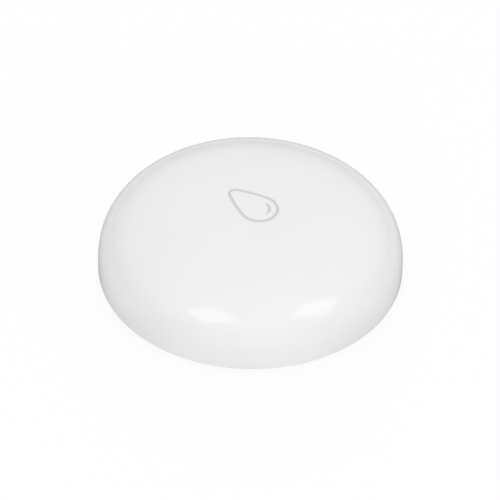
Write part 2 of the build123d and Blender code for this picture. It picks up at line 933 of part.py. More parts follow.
with BuildPart() as switch_dome:
    with BuildSketch(Plane.XZ):
        with BuildLine() as half_arc:
            RadiusArc(
                (flange_radius, well_floor_z + snap_dome_thickness),
                (0, snap_dome_top_z - snap_dome_thickness / 2),
                -snap_dome_curve,
            )
        trace(half_arc.line, line_width=snap_dome_thickness)
    revolve(axis=Axis.Z)
finish(switch_dome, "switch_dome")

with BuildPart() as switch_button:
    with BuildSketch(Plane.XZ):
        band(0, nub_radius, button_z, button_z + nub_height)
        band(0, flange_radius, button_z + nub_height, switch_plate_z - fit_gap)
        band(0, stem_radius, button_z + nub_height, button_top_z)
    revolve(axis=Axis.Z)
    chamfer(switch_button.edges().group_by(Axis.Z)[-1], length=button_bevel)
finish(switch_button, "switch_button")

with BuildPart() as switch_plate:
    plate_side = switch_side - 2 * switch_plate_inset
    with BuildSketch(Plane.XY.offset(switch_plate_z)):
        RectangleRounded(plate_side, plate_side, switch_corner)
        Circle(plate_hole_radius, mode=Mode.SUBTRACT)
    extrude(amount=switch_plate_thickness)
finish(switch_plate, "switch_plate")

with BuildPart() as switch_terminals:
    for way in (1, -1):
        for place in (-1, 1):
            bent_lead(
                0,
                place * terminal_pitch / 2,
                (way, 0),
                switch_side / 2,
                terminal_rise,
                terminal_reach,
                terminal_thickness,
                terminal_width,
            )
finish(switch_terminals, "switch_terminals")
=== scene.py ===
"""The looks of a water leak sensor: a white domed puck that stands on four low feet.

The pieces are dressed in the order in which the sensor is put together: the base with its
probes and contacts, the board with what is soldered to it, the dome that snaps over them, and
from below the coin cell and its cover. The studio comes last. The frame is the part's own.
"""

from math import asin, atan2, cos, hypot, pi, radians, sin

import bmesh
import bpy
from mathutils import Matrix, Vector


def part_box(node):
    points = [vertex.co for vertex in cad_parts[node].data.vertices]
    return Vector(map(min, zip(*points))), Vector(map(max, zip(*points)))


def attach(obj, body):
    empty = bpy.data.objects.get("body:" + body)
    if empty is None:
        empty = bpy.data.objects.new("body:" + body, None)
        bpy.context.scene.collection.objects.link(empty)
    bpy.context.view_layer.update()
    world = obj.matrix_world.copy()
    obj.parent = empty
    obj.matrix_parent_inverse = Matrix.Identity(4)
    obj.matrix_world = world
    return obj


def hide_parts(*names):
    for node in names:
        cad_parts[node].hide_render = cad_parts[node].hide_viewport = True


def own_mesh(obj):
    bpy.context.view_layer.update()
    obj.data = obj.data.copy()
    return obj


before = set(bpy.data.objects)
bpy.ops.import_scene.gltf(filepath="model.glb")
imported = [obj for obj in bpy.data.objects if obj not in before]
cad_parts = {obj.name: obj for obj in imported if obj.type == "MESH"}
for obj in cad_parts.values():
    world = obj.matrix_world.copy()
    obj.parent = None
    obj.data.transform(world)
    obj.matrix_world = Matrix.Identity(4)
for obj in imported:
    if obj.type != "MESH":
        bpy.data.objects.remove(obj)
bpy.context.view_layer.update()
mm = 0.001


# Base moulding.
# The real one is white ABS with a fine spark-eroded grain. It snaps into the dome from below,
# and its edges are softly broken where the mould's two halves were blended.
def take_up(nodes):
    """Makes a node tree the one in hand, to which nodes are added until another is taken up."""
    global tree
    tree = nodes


def feed(node, inputs):
    """Links or sets a node's inputs, by number or by name."""
    for name, value in inputs.items():
        socket = node.inputs[name.replace("_", " ") if isinstance(name, str) else name]
        if isinstance(value, bpy.types.NodeSocket):
            tree.links.new(value, socket)
        else:
            socket.default_value = value


def add(kind, *inputs, **others):
    """Adds a node, with its inputs in order or by a name with a capital, and its settings."""
    node = tree.nodes.new(kind)
    for name, value in others.items():
        if name.islower():
            setattr(node, name, value)
    named = {name: value for name, value in others.items() if not name.islower()}
    feed(node, {**dict(enumerate(inputs)), **named})
    return node


def put(kind, *inputs, **others):
    """Adds a node and gives its first output."""
    return add(kind, *inputs, **others).outputs[0]


def shader(**inputs):
    """Links or sets the inputs of the shader of the material in hand."""
    feed(tree.nodes["Principled BSDF"], inputs)


def part_place():
    """The place of each point in the part's frame."""
    return add("ShaderNodeTexCoord").outputs["Object"]


def noise(place, size, detail):
    """Noise from 0 to 1 whose blotches have a real size."""
    return put("ShaderNodeTexNoise", Vector=place, Scale=1 / (size * mm), Detail=detail)


def between(share, low, high):
    """A number that runs from low to high while noise runs over the middle of its range."""
    return put("ShaderNodeMapRange", share, 0.3, 0.7, low, high)


def mixed(share, first, second):
    """The colour that lies between two others."""
    node = add("ShaderNodeMix", share, data_type="RGBA")
    for place, colour in ((6, first), (7, second)):
        linked = isinstance(colour, bpy.types.NodeSocket)
        feed(node, {place: colour if linked else (*colour, 1)})
    return node.outputs[2]


def toned(colour, share):
    """A colour made deeper or paler."""
    return [value * share for value in colour]


def relief(height, depth, **under):
    """A bump of a real depth, on top of another."""
    return put("ShaderNodeBump", Height=height, Distance=depth * mm, Strength=1.0, **under)


def new_finish(name, **inputs):
    """Takes up a new material, and gives it and the place of each point."""
    material = bpy.data.materials.new(name)
    material.use_nodes = True
    take_up(material.node_tree)
    shader(**inputs)
    return material, part_place()


def patchy(name, shades, patch, gloss, dull, *skins, **inputs):
    """A finish whose shade and gloss drift in patches, over fine reliefs.

    Patches are given by their size and detail, and reliefs by their size, detail and depth.
    Where no patches are given for the gloss, it follows those of the shade.
    """
    material, place = new_finish(name, **inputs)
    share = between(noise(place, *patch), 0, 1)
    shader(Base_Color=mixed(share, *shades))
    if gloss:
        shader(Roughness=between(noise(place, *dull) if dull else share, *gloss))
    skin = {}
    for size, detail, depth in skins:
        skin = {"Normal": relief(noise(place, size, detail), depth, **skin)}
    shader(**skin)
    return material


def moulded(name, colour, gloss, grain, depth):
    """Moulded plastic: a faint drift in its shade, and the mould's grain in gloss and relief."""
    shades = (toned(colour, 0.985), toned(colour, 1.015))
    rough = (gloss * 0.85, gloss * 1.15)
    return patchy(name, shades, (9, 2), rough, (1.6, 4), (grain, 3, depth), IOR=1.5)


def shown(name, data):
    """Adds an object to the scene."""
    item = bpy.data.objects.new(name, data)
    bpy.context.collection.objects.link(item)
    return item


def settle(piece):
    """Applies a piece's modifiers, and shades it smooth between its edges."""
    graph = bpy.context.evaluated_depsgraph_get()
    mesh = bpy.data.meshes.new_from_object(piece.evaluated_get(graph))
    piece.modifiers.clear()
    piece.data = mesh
    mesh.shade_smooth()
    crease = radians(32)
    mesh.set_sharp_from_angle(angle=crease)


def fit(piece, material, nodes, body):
    """Gives a piece its material, the body that it rides on, and the nodes that it replaces."""
    piece.data.materials.clear()
    piece.data.materials.append(material)
    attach(piece, body)
    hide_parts(*nodes)


def broken_edged(name, node, width, material, body="housing"):
    """A node's own shape with its triangles joined and its sharp edges rounded."""
    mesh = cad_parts[node].data.copy()
    mesh.materials.clear()
    work = bmesh.new()
    work.from_mesh(mesh)
    bmesh.ops.remove_doubles(work, verts=work.verts, dist=0.002 * mm)
    flat, edged = radians(0.5), radians(35)
    bmesh.ops.dissolve_limit(work, angle_limit=flat, verts=work.verts, edges=work.edges)
    work.to_mesh(mesh)
    work.free()
    mesh.shade_smooth()
    piece = shown(name, mesh)
    bevel = piece.modifiers.new("broken edges", "BEVEL")
    bevel.width = width * mm
    bevel.segments = 2
    bevel.limit_method = "ANGLE"
    bevel.angle_limit = edged
    piece.modifiers.new("flat faces stay flat", "WEIGHTED_NORMAL").keep_sharp = True
    settle(piece)
    fit(piece, material, [node], body)
    return piece


base_plastic = moulded("base_plastic", (0.80, 0.80, 0.79), 0.45, 0.12, 0.005)
broken_edged("base_moulding", "lower_shell", 0.08, base_plastic)


# Seals.
# Four black silicone rings, moulded round and squeezed nearly square in their grooves. Talc
# greys the rubber; the faint flash line that the real rings show where the mould parts is not
# drawn.
def new_tree(name, **sizes):
    """Takes up a geometry tree that works on a piece's own mesh, and gives its named inputs."""
    take_up(bpy.data.node_groups.new(name, "GeometryNodeTree"))
    kinds = {label: "Int" if isinstance(size, int) else "Float" for label, size in sizes.items()}
    for label, kind in {"Mesh": "Geometry", **kinds, "Finish": "Material"}.items():
        wanted = {"in_out": "INPUT", "socket_type": "NodeSocket" + kind}
        socket = tree.interface.new_socket(label, **wanted)
        if label in sizes:
            socket.default_value = sizes[label]
    tree.interface.new_socket("Mesh", in_out="OUTPUT", socket_type="NodeSocketGeometry")
    return add("NodeGroupInput").outputs


def real(thing):
    """Copies made real."""
    return put("GeometryNodeRealizeInstances", thing)


def end_tree(thing):
    """Makes what repeats real, gives it its material, and gives the tree in hand."""
    finish = add("NodeGroupInput").outputs["Finish"]
    done = put("GeometryNodeSetMaterial", real(thing), Material=finish)
    add("NodeGroupOutput", Mesh=done)
    return tree


def maths(operation, *values):
    """The result of a sum."""
    return put("ShaderNodeMath", *values, operation=operation)


def point(x, y, z):
    """A place made of three numbers."""
    return put("ShaderNodeCombineXYZ", x, y, z)


def apart(place):
    """The three numbers of a place."""
    return add("ShaderNodeSeparateXYZ", place).outputs[:3]


def merged(thing, distance):
    """A thing whose points are joined where they meet."""
    return put("GeometryNodeMergeByDistance", thing, Distance=distance * mm)


def turned(section, around):
    """Turns a section, drawn outwards on X and upwards on Z, about the Z axis."""
    hub = 10 * mm
    drawn = put("GeometryNodeMeshToCurve", section)
    x, y, z = apart(put("GeometryNodeInputPosition"))
    laid = point(maths("SUBTRACT", x, hub), maths("MULTIPLY", z, -1), 0)
    profile = put("GeometryNodeSetPosition", drawn, Position=laid)
    circle = put("GeometryNodeCurvePrimitiveCircle", Resolution=around, Radius=hub)
    return merged(put("GeometryNodeCurveToMesh", circle, profile), 0.001)


def on_circle(thing, count, radius, first_angle, height, tilt=0.0):
    """Repeats a thing round the Z axis."""
    step = maths("DIVIDE", 2 * pi, count)
    angle = maths("MULTIPLY_ADD", put("GeometryNodeInputIndex"), step, first_angle)
    x, y = [maths("MULTIPLY", radius, maths(way, angle)) for way in ("COSINE", "SINE")]
    points = put("GeometryNodePoints", Count=count, Position=point(x, y, height))
    turn = point(tilt, 0, angle)
    return put("GeometryNodeInstanceOnPoints", points, Instance=thing, Rotation=turn)


def grown(
    name, lines, closed, grower, material, slot, *nodes, upright=False, body="housing", **sizes
):
    """A piece that a geometry tree makes from lines on X and Y, or upright ones on X and Z."""
    corners, edges = [], []
    for line in lines:
        first, count = len(corners), len(line)
        corners += [(a * mm, 0, b * mm) if upright else (a * mm, b * mm, 0) for a, b in line]
        steps = range(count if closed else count - 1)
        edges += [(first + step, first + (step + 1) % count) for step in steps]
    mesh = bpy.data.meshes.new(name)
    mesh.from_pydata(corners, edges, [])
    piece = shown(name, mesh)
    modifier = piece.modifiers.new("grown", "NODES")
    modifier.node_group = grower
    values = {**sizes, "Finish": material}
    for socket in grower.interface.items_tree:
        if socket.in_out == "INPUT" and socket.name in values:
            modifier[socket.identifier] = values[socket.name]
    settle(piece)
    fit(piece, material, nodes, body)


given = new_tree("Turned ring", Around=96, Count=1, Circle_Radius=0.0, First_Angle=0.0)
lathe = end_tree(on_circle(turned(given["Mesh"], given["Around"]), *given[2:5], 0.0))


def squeezed_ring(inner, outer, low, high, steps=24):
    """The section of a ring that is squeezed in its groove, with its outside to the left."""
    squareness = 0.55
    points = []
    for step in range(steps):
        turn = -2 * pi * step / steps
        across, upright = [
            abs(way) ** squareness * (1 if way > 0 else -1) for way in (cos(turn), sin(turn))
        ]
        radius = (inner + outer) / 2 + across * (outer - inner) / 2
        points.append((radius, (low + high) / 2 + upright * (high - low) / 2))
    return points


def ring_seal(node, inner, body="housing", around=144, offset=0.0, angle=0.0):
    """A ring seal in the place of its node, about the part's axis or a probe's."""
    low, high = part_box(node)
    outer = high.x / mm - offset * cos(angle)
    grown(
        node + "_ring", [squeezed_ring(inner, outer, low.z / mm, high.z / mm)], True, lathe,
        silicone, "seal_rubber", node, upright=True, body=body, Around=around,
        Circle_Radius=offset * mm, First_Angle=angle,
    )


probe_offset = 18.0
sides = (("right", 0.0), ("left", pi))
silicone = patchy(
    "silicone", ((0.030, 0.030, 0.032), (0.065, 0.065, 0.068)), (0.7, 5), (0.5, 0.72), None,
    (0.06, 3, 0.003), IOR=1.42,
)
ring_seal("shell_seal", 22.28)
ring_seal("cover_seal", 11.48, "battery_cover")
for side, angle in sides:
    ring_seal(f"probe_seal_{side}", 1.30, "housing", 48, probe_offset, angle)


# Base marks.
# Raised signs moulded on the underside, beside the battery cover: a solid dot where the cover's
# pointer stands when locked, and a small ring where it stands when the cover comes out.
def joined(*parts):
    """Several parts as one geometry."""
    node = add("GeometryNodeJoinGeometry")
    for part in reversed(parts):
        tree.links.new(part, node.inputs[0])
    return node.outputs[0]


def closed_film(under, thickness):
    """A flat or curved face thickened upwards into a closed solid."""
    film = put(
        "GeometryNodeExtrudeMesh", under, Offset=point(0, 0, 1), Offset_Scale=thickness,
        Individual=False,
    )
    return merged(joined(film, put("GeometryNodeFlipFaces", under)), 0.0005)


def moved(thing, x, y, z):
    """A thing in another place."""
    return put("GeometryNodeTransform", thing, Translation=point(x, y, z))


def filled(lines):
    """The face that closed lines enclose."""
    return put("GeometryNodeFillCurve", put("GeometryNodeMeshToCurve", lines), mode="TRIANGLES")


given = new_tree("Flat relief", Foot=0.0, Thickness=0.1 * mm)
raised = closed_film(filled(given["Mesh"]), given["Thickness"])
relief_tree = end_tree(moved(raised, 0, 0, given["Foot"]))


def round_loop(x, y, radius, steps=24):
    """The points of a circle."""
    turns = [2 * pi * step / steps for step in range(steps)]
    return [(x + radius * cos(turn), y + radius * sin(turn)) for turn in turns]


base_underside = 0.6 * mm
sign_radius = 14.6
sign_height = 0.2 * mm
sign_depth = sign_height + 0.03 * mm
open_angle = radians(60)
open_place = (sign_radius * cos(open_angle), sign_radius * sin(open_angle))
sign_loops = [round_loop(0, sign_radius, 0.7)]
sign_loops += [round_loop(*open_place, radius) for radius in (0.75, 0.42)]
grown(
    "base_signs", sign_loops, True, relief_tree, base_plastic, "base_white",
    Foot=base_underside - sign_height, Thickness=sign_depth,
)


# Probe screws.
# Two stainless pan-head machine screws with a cross recess, turned and then polished. Their
# heads stand a quarter of a millimetre off the floor and are the electrodes.
def combine(operation, *meshes):
    """Meshes united, cut from the first or kept where they meet."""
    node = add("GeometryNodeMeshBoolean", operation=operation, solver="MANIFOLD")
    for place, mesh in enumerate(meshes):
        cut = operation == "DIFFERENCE" and place == 0
        tree.links.new(mesh, node.inputs["Mesh 1" if cut else "Mesh 2"])
    return node.outputs[0]


def coil(radius, low, high, pitch, depth, width):
    """A thread: a ridge wound about the Z axis."""
    rise = maths("SUBTRACT", high, low)
    hub = maths("SUBTRACT", radius, depth)
    line = put(
        "GeometryNodeCurveSpiral", Resolution=20, Rotations=maths("DIVIDE", rise, pitch),
        Start_Radius=hub, End_Radius=hub, Height=rise,
    )
    line = put("GeometryNodeSetCurveNormal", line, mode="Z_UP")
    ridge = put("GeometryNodeCurvePrimitiveCircle", Resolution=4, Radius=1.0)
    scale = point(depth, maths("DIVIDE", width, 2), 1)
    ridge = put("GeometryNodeTransform", ridge, Scale=scale)
    return moved(put("GeometryNodeCurveToMesh", line, ridge, Fill_Caps=True), 0, 0, low)


def cross_cutter(length, width, depth):
    """What a cross recess takes out of a head whose face is at zero."""
    half = maths("DIVIDE", length, 2)
    funnel = put(
        "GeometryNodeMeshCone", Vertices=32, Radius_Bottom=maths("MULTIPLY", half, 1.06),
        Radius_Top=maths("MULTIPLY", half, 0.45), Depth=maths("MULTIPLY", depth, 1.1),
    )
    funnel = moved(funnel, 0, 0, maths("MULTIPLY", depth, -0.1))
    ample = 10 * mm
    sizes = ((ample, width), (width, ample))
    wings = [put("GeometryNodeMeshCube", point(*size, ample)) for size in sizes]
    return combine("INTERSECT", combine("UNION", *wings), funnel)


# Five inputs place the copies, six make the thread and three the recess, here a probe's
given = new_tree(
    "Cross-head screw", Count=1, Circle_Radius=0.0, First_Angle=0.0, Height=0.0, Tilt=0.0,
    Thread_Radius=1.25 * mm, Thread_Low=0.0, Thread_High=1.0 * mm, Pitch=0.45 * mm,
    Thread_Depth=0.22 * mm, Ridge_Width=0.43 * mm, Recess_Length=2.7 * mm,
    Recess_Width=0.6 * mm, Recess_Depth=0.8 * mm,
)
shank = combine("DIFFERENCE", turned(given["Mesh"], 48), cross_cutter(*given[12:15]))
screw_tree = end_tree(on_circle(joined(shank, coil(*given[6:12])), *given[1:6]))


def screw_section(head, face, edge, tall, core, length):
    """A pan head with its face at zero, and the core of its shank, from the tip to the face."""
    tip, broken, steps = 0.3, 0.08, 6
    points = [(0, tall + length), (core - tip, tall + length), (core, tall + length - tip)]
    points += [(core, tall), (head - broken, tall), (head, tall - broken)]
    for step in range(steps + 1):
        turn = pi / 2 * step / steps
        points.append((face + (head - face) * cos(turn), edge - edge * sin(turn)))
    return points + [(0, 0)]


def length_of(place):
    """How far a place lies from the origin."""
    return add("ShaderNodeVectorMath", place, operation="LENGTH").outputs["Value"]


def turned_metal(name, colour, rough, centre):
    """Metal from a lathe: fine rings about the screw nearest to each point."""
    material, place = new_finish(name, Metallic=1.0)
    x, y = [
        maths("SUBTRACT", maths("ABSOLUTE", part), off * mm)
        for part, off in zip(apart(place), centre)
    ]
    ring = 0.07 * mm
    rings = put(
        "ShaderNodeTexNoise", W=length_of(point(x, y, 0)), Scale=1 / ring, Detail=3.0,
        noise_dimensions="1D",
    )
    spots = between(noise(place, 0.9, 4), 0, 1)
    shader(
        Base_Color=mixed(spots, toned(colour, 0.96), colour),
        Roughness=between(rings, rough * 0.8, rough * 1.25), Normal=relief(rings, 0.002),
    )
    return material


probe_steel = turned_metal("probe_steel", (0.62, 0.61, 0.59), 0.22, (probe_offset, 0))
probe_head = 1.35
probe_points = screw_section(2.4, 1.9, 0.45, probe_head, 1.04, 6.0)
for side, angle in sides:
    grown(
        f"probe_{side}", [probe_points], False, screw_tree, probe_steel, "stainless",
        f"probe_screw_{side}", upright=True, Circle_Radius=probe_offset * mm, First_Angle=angle,
        Height=0.25 * mm, Thread_Low=(probe_head + 0.3) * mm,
        Thread_High=(probe_head + 5.7) * mm,
    )


# Standoffs.
# Turned hexagonal brass spacers. Each takes a probe screw from below, and its thin upper end is
# rolled over the board, where solder joins it to the copper.
def plain_metal(name, colour, rough, grain, stretch=(1, 1, 1), depth=0.002, tarnish=0.06):
    """Metal with a grain that may run one way, and a faint change of its shade."""
    material, place = new_finish(name, Metallic=1.0)
    streaks = noise(put("ShaderNodeMapping", place, Scale=stretch), grain, 4)
    spots = between(noise(place, 1.3, 3), 0, 1)
    shader(
        Base_Color=mixed(spots, toned(colour, 1 - tarnish), colour),
        Roughness=between(streaks, rough * 0.75, rough * 1.3), Normal=relief(streaks, depth),
    )
    return material


turned_brass = plain_metal("turned_brass", (0.74, 0.58, 0.30), 0.26, 0.08, (1, 1, 6))
for side, angle in sides:
    broken_edged(f"standoff_{side}", f"probe_standoff_{side}", 0.08, turned_brass)


# Battery contacts.
# Two springs bent from nickel-plated strip and soldered under the board: one leans on the side
# of the cell's can, the other on its cap.
strip = plain_metal("spring_strip", (0.74, 0.72, 0.66), 0.18, 0.05, (1, 8, 8), 0.001)
for kind in ("positive", "negative"):
    broken_edged(f"{kind}_spring", f"{kind}_contact", 0.04, strip)


# Circuit board.
# Glass-epoxy laminate under green solder mask. Its tracks show as low ridges under the mask,
# the pads and the rings of the vias are flashed with gold, and the outlines are white print.
def solder_mask(name, colour, weave_depth):
    """Solder mask over woven glass: glossy, and deeper in shade in patches."""
    shades = (toned(colour, 0.8), colour)
    mask = patchy(name, shades, (2.2, 3), (0.24, 0.34), (0.5, 2), IOR=1.5)
    pitch = 2 * pi / (0.45 * mm)
    warp, weft = [maths("SINE", maths("MULTIPLY", way, pitch)) for way in apart(part_place())[:2]]
    shader(Normal=relief(maths("MULTIPLY", warp, weft), weave_depth))
    return mask


board_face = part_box("circuit_board")[1].z
board_mask = solder_mask("board_mask", (0.03, 0.20, 0.10), 0.003)
broken_edged("board_laminate", "circuit_board", 0.06, board_mask)

given = new_tree(
    "Tracks", Height=board_face, Width=0.25 * mm, Thickness=0.035 * mm, Bend=0.4 * mm
)
lines = put("GeometryNodeMeshToCurve", given["Mesh"])
bends = {"Radius": given["Bend"], "Limit_Radius": True, "Count": 3}
lines = put("GeometryNodeFilletCurve", lines, mode="POLY", **bends)
lines = put("GeometryNodeSetCurveNormal", lines, mode="Z_UP")
double = maths("MULTIPLY", given["Thickness"], 2)
ribbon = put("GeometryNodeCurvePrimitiveQuadrilateral", Width=given["Width"], Height=double)
tracks = put("GeometryNodeCurveToMesh", lines, ribbon, Fill_Caps=True)
track_tree = end_tree(moved(tracks, 0, 0, given["Height"]))

track_routes = [
    [(-6.0, 6.9), (-4.2, 6.9), (-2.6, 8.5), (-2.6, 12.6), (-5.6, 13.6), (-5.6, 14.4)],
    [(-6.0, 5.7), (-2.0, 5.7), (0.6, 8.3), (0.6, 9.4)],
    [(-6.0, 4.6), (-3.6, 4.6), (-3.4, 4.4), (-3.4, 2.3), (-4.2, 2.3)],
    [(-12.1, 4.1), (-13.1, 4.1)],
    [(-12.1, 6.9), (-13.1, 6.9)],
    [(-9.8, 2.3), (-9.8, 0.1)],
    [(-7.9, 2.3), (-7.9, 0.1)],
    [(-10.2, -2.2), (-11.5, -2.2)],
    [(-13.2, -2.06), (-14.9, -2.06), (-16.2, -0.8)],
    [(-8.3, -9.5), (-9.6, -9.5), (-12.2, -6.9)],
    [(-3.3, -9.5), (3.2, -9.5), (4.2, -8.7), (5.6, -8.7)],
    [(9.2, -8.7), (10.8, -8.7), (13.7, -5.8), (13.7, -4.6)],
    [(13.6, -2.1), (14.8, -2.1), (16.1, -0.9)],
    [(11.9, -4.5), (11.9, -2.1)],
    [(12.3, 4.3), (12.3, 5.9), (12.7, 6.1)],
    [(14.4, 6.2), (16.6, 4.0), (17.2, 2.0)],
    [(10.4, 4.3), (10.0, 4.7), (8.8, 4.2)],
    [(10.4, 1.4), (9.2, 1.4), (7.0, 3.4), (7.0, 4.1)],
    [(6.6, 7.4), (4.8, 7.4), (3.6, 8.6), (3.6, 9.4)],
    [(8.3, 7.4), (9.2, 7.4), (10.6, 8.8), (10.6, 11.4), (9.9, 12.3)],
    [(-4.2, -2.3), (-6.4, -2.3), (-6.9, -2.8), (-6.9, -7.4), (-6.5, -9.4)],
    [(4.2, -2.3), (6.0, -2.3), (9.4, -5.7), (9.4, -7.4)],
    [(-14.9, 3.7), (-16.8, 2.6), (-17.2, 2.0)],
    [(-14.8, 7.0), (-16.0, 7.0), (-16.8, 6.2), (-17.4, 2.2)],
]
track_mask = solder_mask("track_mask", (0.05, 0.29, 0.14), 0.001)
grown(
    "board_tracks", track_routes, False, track_tree, track_mask, "board_green",
    Height=board_face,
)


def corners_of(x, y, across, up):
    """The four corners about a middle."""
    return [(x + a * across, y + b * up) for a in (-1, 1) for b in (-1, 1)]


def box_loop(x, y, length, width):
    """The outline of a rectangle."""
    a, b = length / 2, width / 2
    return [(x - a, y - b), (x + a, y - b), (x + a, y + b), (x - a, y + b)]


def frame_loops(x, y, length, width, line):
    """The two outlines of a thin rectangular frame."""
    inside = box_loop(x, y, length - 2 * line, width - 2 * line)
    return [box_loop(x, y, length, width), inside]


def corner_loops(x, y, half, arm, line):
    """Four marks at the corners of a square."""
    bends = [(0, 0), (arm, 0), (arm, line), (line, line), (line, arm), (0, arm)]
    return [
        [(x + right * (half - a), y + up * (half - b)) for a, b in bends]
        for right, up in corners_of(0, 0, 1, 1)
    ]


def middles(node):
    """The middles of a node's separate solids, seen from above."""
    work = bmesh.new()
    work.from_mesh(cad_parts[node].data)
    bmesh.ops.remove_doubles(work, verts=work.verts, dist=0.001 * mm)
    left = set(work.verts)
    found = []
    while left:
        reached = [left.pop()]
        group = []
        while reached:
            vertex = reached.pop()
            group.append(vertex.co[:2])
            for edge in vertex.link_edges:
                other = edge.other_vert(vertex)
                if other in left:
                    left.remove(other)
                    reached.append(other)
        found.append(tuple((min(row) + max(row)) / 2 / mm for row in zip(*group)))
    work.free()
    return sorted(found)


small_chips = middles("chip_capacitors") + middles("chip_resistors")
single_parts = ("radio_chip", "crystal", "sense_chip", "bulk_capacitor", "status_led_body")
radio, crystal, sense, tantalum, light = [middles(node)[0] for node in single_parts]
board_screw = (9.0, 15.588)

radio_pads = []
for step in range(10):
    along = (step - 4.5) * 0.5
    for off in (-3.05, 3.05):
        radio_pads += [(radio[0] + along, radio[1] + off, 0.25, 0.6)]
        radio_pads += [(radio[0] + off, radio[1] + along, 0.6, 0.25)]
sense_feet = [
    (sense[0] + step * 0.95, sense[1] + up * 1.25)
    for up, steps in ((1, (-1, 0, 1)), (-1, (-1, 1))) for step in steps
]
wide_pads = [
    (x + end * reach, y, length, width)
    for (x, y), reach, length, width in ((tantalum, 1.75, 1.4, 2.4), (light, 1.5, 1.1, 2.2))
    for end in (-1, 1)
]
switch_feet = corners_of(0, 0, 3.9, 2.25)
crystal_feet = corners_of(*crystal, 1.2, 0.95)
pads = [box_loop(*pad) for pad in radio_pads + wide_pads]
for feet, length, width in (
    (sense_feet, 0.6, 0.9), (switch_feet, 1.3, 1.1), (crystal_feet, 1.3, 1.0),
    ([(x + end * 0.85, y) for x, y in small_chips for end in (-1, 1)], 0.75, 1.0),
):
    pads += [box_loop(x, y, length, width) for x, y in feet]
for end in (-1, 1):
    for (x, y), *radii in (((probe_offset, 0), 2.35, 1.68), (board_screw, 1.95, 1.12)):
        pads += [round_loop(end * x, end * y, radius, 40) for radius in radii]
test_points = [
    (-1.5, -12.4), (0.5, -12.4), (2.5, -12.4), (4.5, -12.4), (-13.0, -6.2), (15.6, -6.6),
]
pads += [round_loop(*place, 0.5) for place in test_points]
via_places = [
    (1.6, 6.0), (-5.3, -4.2), (6.2, -5.4), (-11.9, 0.7), (14.8, 1.6), (5.8, 12.8),
    (-14.6, -7.9), (-2.2, -14.6), (10.2, -12.0), (15.8, 8.0), (-9.6, 10.6), (-1.0, -6.4),
]
for place in via_places:
    pads += [round_loop(*place, radius, 16) for radius in (0.32, 0.16)]
gold = plain_metal("gold_flash", (0.83, 0.64, 0.32), 0.3, 0.2, depth=0.001)
film_foot = board_face - 0.02 * mm
grown(
    "board_pads", pads, True, relief_tree, gold, "copper", Foot=film_foot, Thickness=0.065 * mm
)

outlines = []
for place in small_chips:
    outlines += frame_loops(*place, 2.7, 1.4, 0.1)
for place, length, width in (
    (crystal, 4.2, 3.3), (sense, 3.6, 4.0), (tantalum, 5.4, 3.4), (light, 4.8, 3.2),
    ((0, 0), 9.8, 7.0),
):
    outlines += frame_loops(*place, length, width, 0.14)
outlines += corner_loops(*radio, 3.4, 0.75, 0.14)
outlines.append(round_loop(radio[0] - 3.9, radio[1] + 3.3, 0.17))
print_white = moulded("board_print", (0.80, 0.80, 0.78), 0.5, 0.1, 0.002)
grown(
    "board_print", outlines, True, relief_tree, print_white, "led_white", Foot=film_foot,
    Thickness=0.05 * mm,
)


# Parts on the board.
# Reflow-soldered: black epoxy chips, tan ceramic capacitors, black glazed resistors, a moulded
# tantalum capacitor, a canned crystal and the status light. Bright solder wets every foot.
def epoxy(name, colour, rough=0.42):
    """Filled epoxy: fine glassy specks and the dull skin that its mould leaves."""
    shades = (colour, toned(colour, 1.3))
    gloss = (rough * 0.9, rough * 1.2)
    return patchy(name, shades, (0.05, 4), gloss, None, (0.04, 2, 0.002), IOR=1.52)


black_epoxy = epoxy("chip_epoxy", (0.035, 0.035, 0.04))
yellow_epoxy = epoxy("tantalum", (0.72, 0.50, 0.12))
ceramic = epoxy("ceramic", (0.50, 0.38, 0.26), 0.5)
glaze = epoxy("glaze", (0.03, 0.03, 0.035), 0.2)
tinned = plain_metal("tinned", (0.72, 0.72, 0.72), 0.3, 0.06, depth=0.001)
can_metal = plain_metal("crystal_lid", (0.70, 0.69, 0.66), 0.24, 0.05, (10, 1, 1))
amber_resin = patchy(
    "amber_resin", ((0.80, 0.62, 0.20), (0.85, 0.74, 0.36)), (0.3, 4), None, None,
    (0.5, 1, 0.01), IOR=1.53, Roughness=0.07,
)
white_package = moulded("light_package", (0.85, 0.85, 0.83), 0.35, 0.06, 0.002)
for name, node, width, material, slot in (
    ("radio_body", "radio_chip", 0.05, black_epoxy, "chip_black"),
    ("sense_body", "sense_chip", 0.05, black_epoxy, "chip_black"),
    ("sense_feet", "sense_leads", 0.02, tinned, "tin"),
    ("tantalum_body", "bulk_capacitor", 0.08, yellow_epoxy, "tantalum_yellow"),
    ("capacitor_bodies", "chip_capacitors", 0.05, ceramic, "ceramic_tan"),
    ("resistor_bodies", "chip_resistors", 0.04, glaze, "resistor_black"),
    ("chip_caps", "chip_ends", 0.04, tinned, "tin"),
    ("crystal_can", "crystal", 0.08, can_metal, "crystal_can"),
    ("antenna_line", "antenna_trace", 0.02, gold, "copper"),
    ("light_body", "status_led_body", 0.05, white_package, "led_white"),
):
    broken_edged(name, node, width, material)

low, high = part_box("status_led_lens")
lens_radius = (high.x - low.x) / 2 / mm
foot, brim = low.z / mm, high.z / mm
lens_section = [
    (0, brim - 0.09), (0.6 * lens_radius, brim - 0.06), (0.9 * lens_radius, brim - 0.015),
    (lens_radius, brim), (1.0, foot), (0, foot),
]
grown(
    "light_lens", [lens_section], False, lathe, amber_resin, "led_lens", "status_led_lens",
    upright=True, Around=48, Circle_Radius=hypot(*light) * mm,
    First_Angle=atan2(light[1], light[0]),
)

